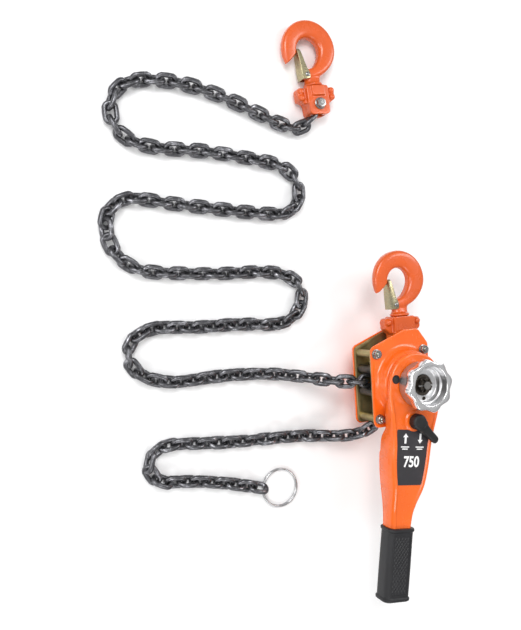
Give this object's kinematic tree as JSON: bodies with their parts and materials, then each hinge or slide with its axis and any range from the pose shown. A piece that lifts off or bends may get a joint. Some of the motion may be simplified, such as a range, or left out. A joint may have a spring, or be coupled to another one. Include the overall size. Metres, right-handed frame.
{
  "type": "lever chain hoist",
  "caption": "Hand lever hoist with geared pocket sheave, screw brake, lobed handwheel, two latched swivel hooks and link chain.",
  "frame": {"origin": "where the drive axis meets the gear cover's outer face, on which the hoist lies", "axes": "+Z along the drive axis towards the handwheel, +Y towards the top hook, +X to the right seen from the handwheel"},
  "size_m": [0.4264, 0.7785, 0.133],
  "materials": {
    "orange_paint": "glossy orange enamel on pressed steel",
    "orange_forging": "glossy orange enamel on forged steel",
    "yellow_zinc": "yellow-passivated zinc plate",
    "bright_zinc": "bright zinc plate",
    "latch_zinc": "olive-yellow passivated sheet",
    "chain_steel": "dark oxidised hardened steel",
    "gear_steel": "oiled hardened steel",
    "brake_lining": "pressed friction lining",
    "wheel_chrome": "polished chrome plate",
    "bush_bronze": "sintered bronze",
    "grip_rubber": "matt black rubber",
    "knob_plastic": "matt black plastic",
    "label_film": "printed black film",
    "ring_steel": "bright spring steel"
  },
  "bodies": {
    "frame": {"gear_side_plate": "yellow_zinc", "brake_side_plate": "yellow_zinc", "stay_bolts": "yellow_zinc", "stay_washers": "bright_zinc", "stay_nuts": "bright_zinc", "gear_cover": "orange_paint", "brake_cover": "orange_paint", "hub_bearings": "gear_steel", "suspension_pin": "bright_zinc", "chain_guide": "yellow_zinc", "guide_roller_pins": "yellow_zinc", "pawl_pins": "gear_steel", "pawl_springs": "gear_steel", "load_chain": "chain_steel", "tail_chain": "chain_steel"},
    "roller_a": {"guide_roller_a": "yellow_zinc"},
    "roller_b": {"guide_roller_b": "yellow_zinc"},
    "disc_upper": {"disc_gear_upper": "gear_steel"},
    "disc_lower": {"disc_gear_lower": "gear_steel"},
    "sheave": {"load_sheave": "gear_steel", "spline_gear": "gear_steel", "snap_ring": "bright_zinc", "wrapped_chain": "chain_steel"},
    "drive": {"drive_shaft": "gear_steel", "brake_hub": "gear_steel", "friction_discs": "brake_lining", "change_gear": "gear_steel", "castle_washer": "bright_zinc", "castle_nut": "bright_zinc", "split_pin": "bright_zinc", "handwheel_spring": "gear_steel"},
    "handwheel": {"handwheel": "wheel_chrome"},
    "ratchet": {"ratchet_disc": "gear_steel"},
    "pawl_l": {"pawl_left": "gear_steel"},
    "pawl_r": {"pawl_right": "gear_steel"},
    "lever": {"lever_front_shell": "orange_paint", "lever_back_shell": "orange_paint", "lever_bush": "bush_bronze", "inspection_plug": "grip_rubber", "lever_screws": "bright_zinc", "label_plate": "label_film", "grip": "grip_rubber"},
    "knob": {"changeover_knob": "knob_plastic", "knob_shaft": "gear_steel", "knob_screw": "bright_zinc", "drive_pawl": "gear_steel"},
    "top_yoke": {"top_yoke_halves": "orange_forging", "top_yoke_rivets": "orange_forging"},
    "top_hook": {"top_hook": "orange_forging", "top_latch_pin": "latch_zinc", "top_latch_spring": "latch_zinc"},
    "top_latch": {"top_latch": "latch_zinc"},
    "load_yoke": {"load_yoke_halves": "orange_forging", "load_yoke_rivets": "orange_forging", "load_chain_pin": "bright_zinc"},
    "load_hook": {"load_hook": "orange_forging", "load_latch_pin": "latch_zinc", "load_latch_spring": "latch_zinc"},
    "load_latch": {"load_latch": "latch_zinc"},
    "end_ring": {"end_ring": "ring_steel"}
  },
  "joints": [
    {"name": "drive_spin", "type": "hinge", "parent": "frame", "child": "drive", "pos_m": [0, 0, 0], "axis": [0, 0, 1], "continuous": true},
    {"name": "disc_upper_spin", "type": "hinge", "parent": "frame", "child": "disc_upper", "pos_m": [0, 0.027, 0], "axis": [0, 0, 1], "continuous": true},
    {"name": "disc_lower_spin", "type": "hinge", "parent": "frame", "child": "disc_lower", "pos_m": [0, -0.027, 0], "axis": [0, 0, 1], "continuous": true},
    {"name": "sheave_spin", "type": "hinge", "parent": "frame", "child": "sheave", "pos_m": [0, 0, 0], "axis": [0, 0, 1], "continuous": true},
    {"name": "roller_a_spin", "type": "hinge", "parent": "frame", "child": "roller_a", "pos_m": [-0.0425, 0.01969, 0], "axis": [0, 0, 1], "continuous": true},
    {"name": "roller_b_spin", "type": "hinge", "parent": "frame", "child": "roller_b", "pos_m": [-0.0425, -0.00969, 0], "axis": [0, 0, 1], "continuous": true},
    {"name": "handwheel_pull", "type": "slide", "parent": "drive", "child": "handwheel", "axis": [0, 0, 1], "range_m": [0, 0.006]},
    {"name": "ratchet_spin", "type": "hinge", "parent": "frame", "child": "ratchet", "pos_m": [0, 0, 0], "axis": [0, 0, 1], "continuous": true},
    {"name": "pawl_left_swing", "type": "hinge", "parent": "frame", "child": "pawl_l", "pos_m": [-0.0275, 0.02, 0], "axis": [0, 0, 1], "range_deg": [0, 12], "stiffness_Nm_per_rad": 0.02, "springref_deg": -11.46},
    {"name": "pawl_right_swing", "type": "hinge", "parent": "frame", "child": "pawl_r", "pos_m": [0.0275, 0.02, 0], "axis": [0, 0, 1], "range_deg": [-12, 0], "stiffness_Nm_per_rad": 0.02, "springref_deg": 11.46},
    {"name": "lever_swing", "type": "hinge", "parent": "frame", "child": "lever", "pos_m": [0, 0, 0], "axis": [0, 0, 1], "continuous": true},
    {"name": "knob_turn", "type": "hinge", "parent": "lever", "child": "knob", "pos_m": [-0.00743, -0.04691, 0], "axis": [0, 0, 1], "range_deg": [-111, 0]},
    {"name": "top_yoke_swing", "type": "hinge", "parent": "frame", "child": "top_yoke", "pos_m": [0.0125, 0.062, 0.06], "axis": [0, 0, 1], "range_deg": [-25, 25]},
    {"name": "top_hook_swivel", "type": "hinge", "parent": "top_yoke", "child": "top_hook", "pos_m": [0.0125, 0.062, 0.06], "axis": [0, 1, 0], "continuous": true},
    {"name": "top_latch_swing", "type": "hinge", "parent": "top_hook", "child": "top_latch", "pos_m": [0.0025, 0.1023, 0.06], "axis": [0, 0, 1], "range_deg": [-45, 0], "stiffness_Nm_per_rad": 0.01, "springref_deg": 22.92},
    {"name": "load_yoke_swing", "type": "hinge", "parent": "frame", "child": "load_yoke", "pos_m": [-0.0716, 0.3783, 0.0125], "axis": [0, 0, 1], "range_deg": [-30, 30]},
    {"name": "load_hook_swivel", "type": "hinge", "parent": "load_yoke", "child": "load_hook", "pos_m": [-0.0716, 0.3783, 0.0125], "axis": [-0.1045, 0.9945, 0], "continuous": true},
    {"name": "load_latch_swing", "type": "hinge", "parent": "load_hook", "child": "load_latch", "pos_m": [-0.08576, 0.41733, 0.0125], "axis": [0, 0, 1], "range_deg": [-45, 0], "stiffness_Nm_per_rad": 0.01, "springref_deg": 22.92},
    {"name": "end_ring_swing", "type": "hinge", "parent": "frame", "child": "end_ring", "pos_m": [-0.178, -0.1256, 0.0024], "axis": [0.29, 0.957, 0], "range_deg": [-80, 0]}
  ],
  "couplings": [
    {"joint": "disc_upper_spin", "follows": "drive_spin", "ratio": -0.38462},
    {"joint": "disc_lower_spin", "follows": "drive_spin", "ratio": -0.38462},
    {"joint": "sheave_spin", "follows": "drive_spin", "ratio": 0.19231}
  ]
}
